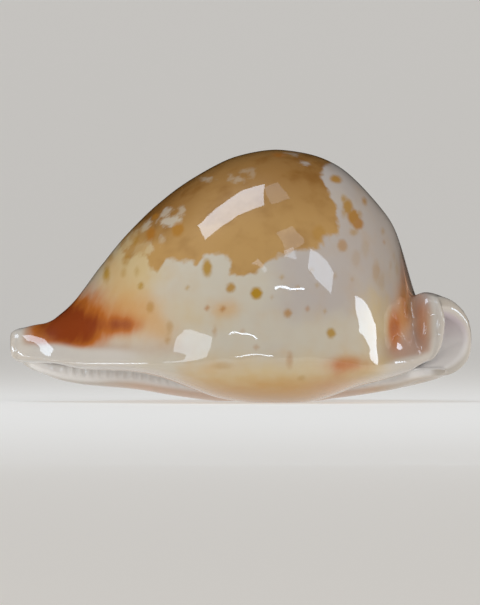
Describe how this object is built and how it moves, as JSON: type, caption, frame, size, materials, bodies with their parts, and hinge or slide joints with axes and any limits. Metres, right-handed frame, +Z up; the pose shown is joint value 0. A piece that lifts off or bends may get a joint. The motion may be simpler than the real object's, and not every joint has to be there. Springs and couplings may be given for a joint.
{
  "type": "cowrie shell",
  "caption": "Pear-shaped cowrie shell with a glossy domed back, a narrow slit between toothed lips underneath and an open spout at each end; it rests on its base.",
  "frame": {"origin": "middle of the shell's length and width, at the height of the worn spots that it rests on", "axes": "+X along the shell towards its blunt back spout, -Y towards the inner lip, +Y towards the outer lip, +Z up towards the domed back"},
  "size_m": [0.0954, 0.063, 0.0522],
  "materials": {
    "shell_enamel": "natural polished shell enamel, cream with tan, rust and white markings"
  },
  "bodies": {
    "root": {"shell": "shell_enamel"}
  },
  "joints": []
}
